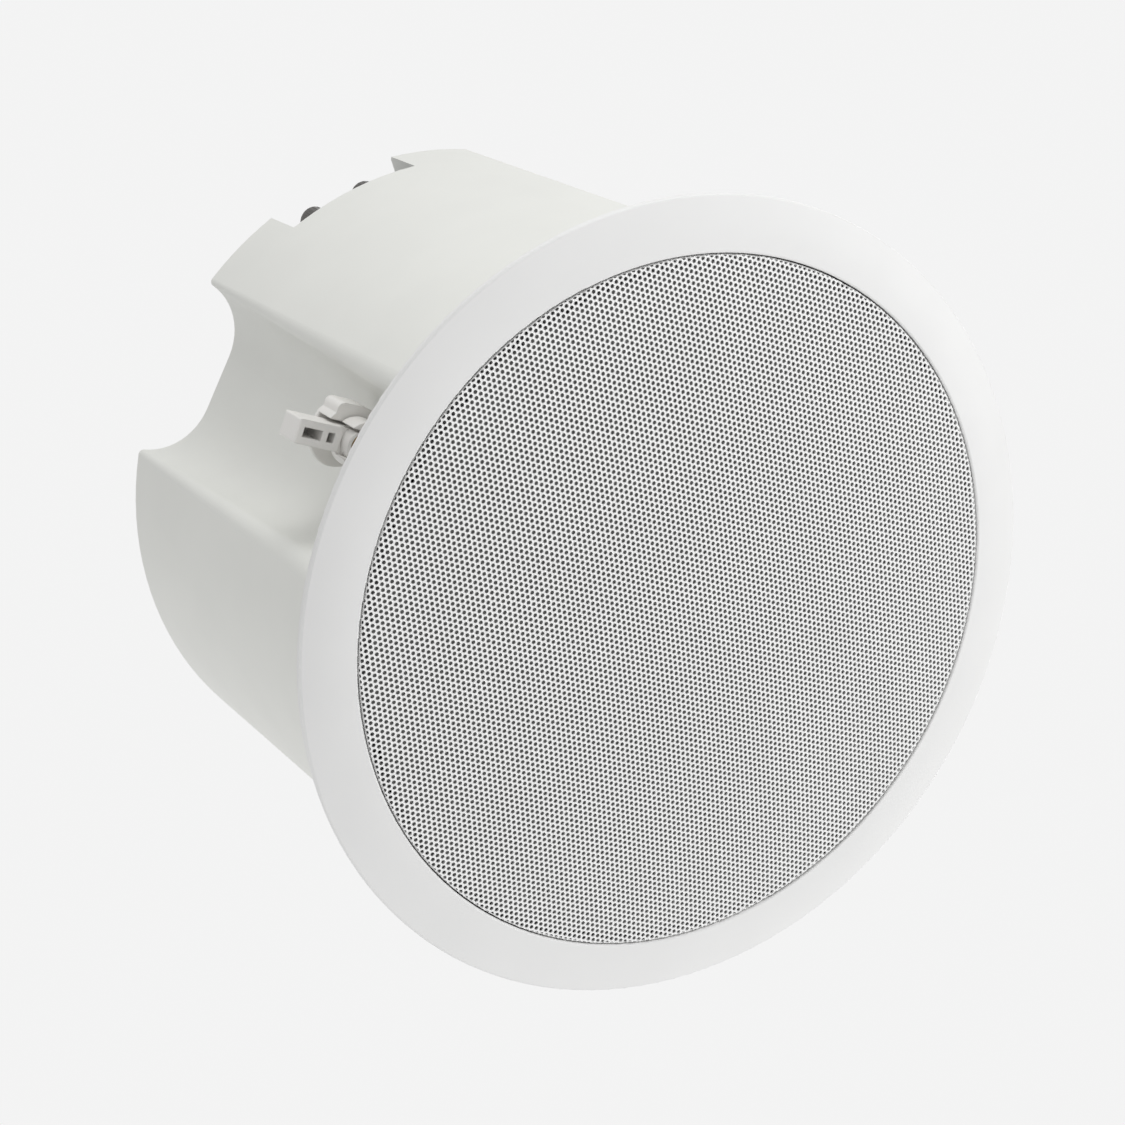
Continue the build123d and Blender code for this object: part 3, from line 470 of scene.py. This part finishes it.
# %% The pressed sheet in sectors
def solid_piece(name, points, faces, slot, body="speaker"):
    """A mesh piece from arrays of points and triangles, riding on a body."""
    used, faces = np.unique(faces, return_inverse=True)
    faces = faces.reshape(-1, 3)
    mesh = bpy.data.meshes.new(name)
    mesh.vertices.add(len(used))
    mesh.vertices.foreach_set("co", points[used].astype(np.float32).ravel())
    mesh.loops.add(faces.size)
    mesh.loops.foreach_set("vertex_index", faces.astype(np.int32).ravel())
    mesh.polygons.add(len(faces))
    mesh.polygons.foreach_set("loop_start", np.arange(0, faces.size, 3, dtype=np.int32))
    mesh.update(calc_edges=True)
    mesh.validate()
    mesh.materials.append(finishes[slot])
    piece = bpy.data.objects.new(name, mesh)
    bpy.context.scene.collection.objects.link(piece)
    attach(piece, body)
    return piece


SECTORS = 6
points = np.vstack([press(blank, 0), press(blank, SHEET_T)])
back = len(blank)
k = np.arange(HOLE_SIDES)
a = (np.arange(len(centre))[:, None] * HOLE_SIDES + k).ravel()
b = (np.arange(len(centre))[:, None] * HOLE_SIDES + (k + 1) % HOLE_SIDES).ravel()
faces = np.vstack([triangles[:, ::-1], triangles + back, quads(a, b, b + back, a + back)])
flat_middle = np.vstack([blank, blank])[faces].mean(axis=1)
sector = ((np.arctan2(flat_middle[:, 1], flat_middle[:, 0]) / (2 * math.pi) % 1) * SECTORS).astype(int)
for index in range(SECTORS):
    piece = solid_piece(f"grille_sheet_{index + 1}", points, faces[sector == index], "grille_paint")
    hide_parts("grille")
print("grille triangles:", len(faces))

# %% [markdown]
# Above the last holes the skirt is plain sheet. It goes on from the edge of the blank: up the
# outside, across the thickness at its end, and back down the inside.

# %% The skirt
skirt_blank = bend_end + skirt_end - bend_z
levels = [(BLANK_R, 0), (skirt_blank, 0), (skirt_blank, SHEET_T), (BLANK_R, SHEET_T)]
points = np.vstack([press(edge_circle * radius, depth) for radius, depth in levels])
here = np.arange(EDGE_SIDES)
after = (here + 1) % EDGE_SIDES
faces = []
for level in range(len(levels) - 1):
    a, b = here + level * EDGE_SIDES, after + level * EDGE_SIDES
    faces.append(quads(a, b, b + EDGE_SIDES, a + EDGE_SIDES))
skirt = solid_piece("grille_skirt", points, np.vstack(faces), "grille_paint")
print("skirt triangles:", len(skirt.data.polygons))

# %% [markdown]
# ## The cloth behind the grille
# A disc of acoustic cloth is stretched over the inside of the dome and ends a little short of the
# skirt, so the last holes look black. It is one thin skin, so a single surface is enough.

# %% The stretched cloth
CLOTH_GAP = 0.15 * MM
CLOTH_RINGS, CLOTH_SIDES = 24, 120
cloth_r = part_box("grille_cloth")[1].x
cloth_circle = circle(CLOTH_SIDES)
flat = np.vstack([[[0, 0]]] + [cloth_circle * cloth_r * (k + 1) / CLOTH_RINGS for k in range(CLOTH_RINGS)])
here = np.arange(CLOTH_SIDES)
after = (here + 1) % CLOTH_SIDES
faces = [np.stack([np.zeros(CLOTH_SIDES, int), after + 1, here + 1], axis=1)]
for level in range(CLOTH_RINGS - 1):
    a, b = 1 + here + level * CLOTH_SIDES, 1 + after + level * CLOTH_SIDES
    faces.append(quads(a, b, b + CLOTH_SIDES, a + CLOTH_SIDES))
cloth = solid_piece("acoustic_cloth", press(flat, SHEET_T + CLOTH_GAP), np.vstack(faces), "cloth")
cloth.data.shade_smooth()
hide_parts("grille_cloth")
print("cloth across:", round(2 * cloth_r / MM, 1), "mm")

# %% [markdown]
# ## The clamp screws' threads
# Each clamp screw is threaded from its retaining ring to its end. A thread is a ridge that climbs
# one pitch a turn. The solid has the thread's core, so only the ridge is added: a strip of
# triangular section wound round the core, sunk a little into it so that no gap shows. One pitch
# at each end stays bare.

# %% Threads on the clamp screws
CLAMPS = 4
THREAD_PITCH = 2.0 * MM
THREAD_H = 0.45 * MM
THREAD_SIDES = 20
SCREW_CORE = 2.1 * MM
THREAD_SINK = 0.05 * MM
HALF_FOOT = 0.4 * THREAD_PITCH
for index in range(1, CLAMPS + 1):
    screw_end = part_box(f"clamp_screw_{index}")[1].z
    ring_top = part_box(f"clamp_ring_{index}")[1].z
    bush_low, bush_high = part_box(f"clamp_bush_{index}")
    axis = (bush_low + bush_high) / 2
    rise = screw_end - ring_top - 2 * THREAD_PITCH
    count = int(rise / THREAD_PITCH * THREAD_SIDES)
    winding = np.arange(count + 1) * 2 * math.pi / THREAD_SIDES
    climb = ring_top + THREAD_PITCH + np.arange(count + 1) * THREAD_PITCH / THREAD_SIDES
    foot = SCREW_CORE - THREAD_SINK
    sections = [(foot, -HALF_FOOT), (SCREW_CORE + THREAD_H, 0.0), (foot, HALF_FOOT)]
    points = np.vstack([np.column_stack([axis.x + radius * np.cos(winding), axis.y + radius * np.sin(winding),
                                         climb + shift]) for radius, shift in sections])
    a = np.arange(count)
    faces = []
    for level in range(len(sections) - 1):
        p, q = a + level * (count + 1), a + (level + 1) * (count + 1)
        faces.append(quads(p, p + 1, q + 1, q))
    solid_piece(f"clamp_thread_{index}", points, np.vstack(faces), "zinc_steel", f"clamp_{index}_screw")
print("thread turns:", round(count / THREAD_SIDES, 1))

# %% [markdown]
# ## Camera
# The picture was taken from below and to one side with a long lens. Its place came from fitting
# the rims of flange, grille and can to the photograph: position, and which way is right and down
# in the picture.

# %% The camera
CAMERA_PLACE = Vector((566.2, 761.5, -1262.1)) * MM
PICTURE_RIGHT = Vector((-0.8224, -0.2670, -0.5024)).normalized()
LOOK = Vector((-0.3440, -0.4701, 0.8128)).normalized()
LENS, SENSOR = 152.0, 36.0
picture_up = PICTURE_RIGHT.cross(LOOK).normalized()
picture_right = LOOK.cross(picture_up)
camera = bpy.data.objects.new("camera", bpy.data.cameras.new("camera"))
camera.data.lens, camera.data.sensor_width = LENS, SENSOR
camera.matrix_world = Matrix.Translation(CAMERA_PLACE) @ Matrix(
    (picture_right, picture_up, -LOOK)).transposed().to_4x4()
bpy.context.scene.collection.objects.link(camera)
bpy.context.scene.camera = camera
print("camera up:", [round(part, 3) for part in picture_up])

# %% [markdown]
# ## Studio
# The picture has a white sweep and soft light from all round: large soft boxes far to the right and
# below, and two smaller ones close above the speaker, so that the top of the flange is brightest.
# Area lamps stand for the soft boxes, placed by directions of the picture: right, up and towards
# the viewer. The camera doesn't see the lamps themselves, so that none stands in a view from
# another side.

# %% Lamps
FAR, NEAR = (1.9, 1.2), (0.7, 0.4)      # distance and size of a lamp
LAMPS = {                               # direction in the picture, place, watts
    "right": ((1.0, 0.0, 0.1), FAR, 15.8),
    "low": ((0.0, -0.95, 0.3), FAR, 9.8),
    "top": ((0.15, 1.0, 0.35), NEAR, 0.69),
    "front": ((0.0, 0.8, 0.6), NEAR, 0.88),
}
target = (cad_box[0] + cad_box[1]) / 2
for name, (aim, (distance, size), power) in LAMPS.items():
    lamp = bpy.data.lights.new(name, "AREA")
    lamp.shape, lamp.size, lamp.energy = "DISK", size, power
    away = (picture_right * aim[0] + picture_up * aim[1] - LOOK * aim[2]).normalized()
    stand = bpy.data.objects.new(name, lamp)
    stand.location = target + away * distance
    stand.rotation_euler = away.to_track_quat("Z", "Y").to_euler()
    stand.visible_camera = False
    bpy.context.scene.collection.objects.link(stand)
print("lamps:", ", ".join(LAMPS))

# %% [markdown]
# The world gives the even light of white walls. The white background is the colour of world and
# floor for rays that show it, so it adds no light to the speaker. The floor lies far below,
# because the speaker hangs free in the picture.

# %% World and floor
BACKGROUND = (0.90, 0.90, 0.90)
AMBIENT = (0.614, 0.614, 0.614)
FLOOR_Z, FLOOR_HALF = -2.9, 9.0
FLOOR_GREY = (0.8, 0.8, 0.8)


def seen(board):
    """1 for rays that show the background: the camera's own, and those off metal or through glass."""
    camera_ray, glossy, through = (board.node("LightPath", output=f"Is {kind} Ray")
                                   for kind in ("Camera", "Glossy", "Transmission"))
    hits = camera_ray + glossy + through
    return hits.maths("MINIMUM", hits, 1.0)


world = bpy.data.worlds.new("studio")
bpy.context.scene.world = world
board = Board(world)
board.node("OutputWorld", {}, {"Surface": board.node(
    "Background", {}, {"Color": seen(board).tint(AMBIENT, BACKGROUND), "Strength": 1.0})})
floor_mesh = bpy.data.meshes.new("floor")
corners = ((-1, -1), (1, -1), (1, 1), (-1, 1))
floor_mesh.from_pydata([(x * FLOOR_HALF, y * FLOOR_HALF, FLOOR_Z) for x, y in corners], [], [(0, 1, 2, 3)])
floor = bpy.data.objects.new("floor", floor_mesh)
bpy.context.scene.collection.objects.link(floor)
pale = bpy.data.materials.new("pale_floor")
board = Board(pale)
board.node("OutputMaterial", {}, {"Surface": board.node("MixShader", {}, {
    0: seen(board), 1: board.node("BsdfDiffuse", {}, {"Color": (*FLOOR_GREY, 1)}),
    2: board.node("Emission", {}, {"Color": (*BACKGROUND, 1)})})})
floor_mesh.materials.append(pale)
bpy.context.scene.view_settings.view_transform = "Standard"
print("floor at:", FLOOR_Z, "m")
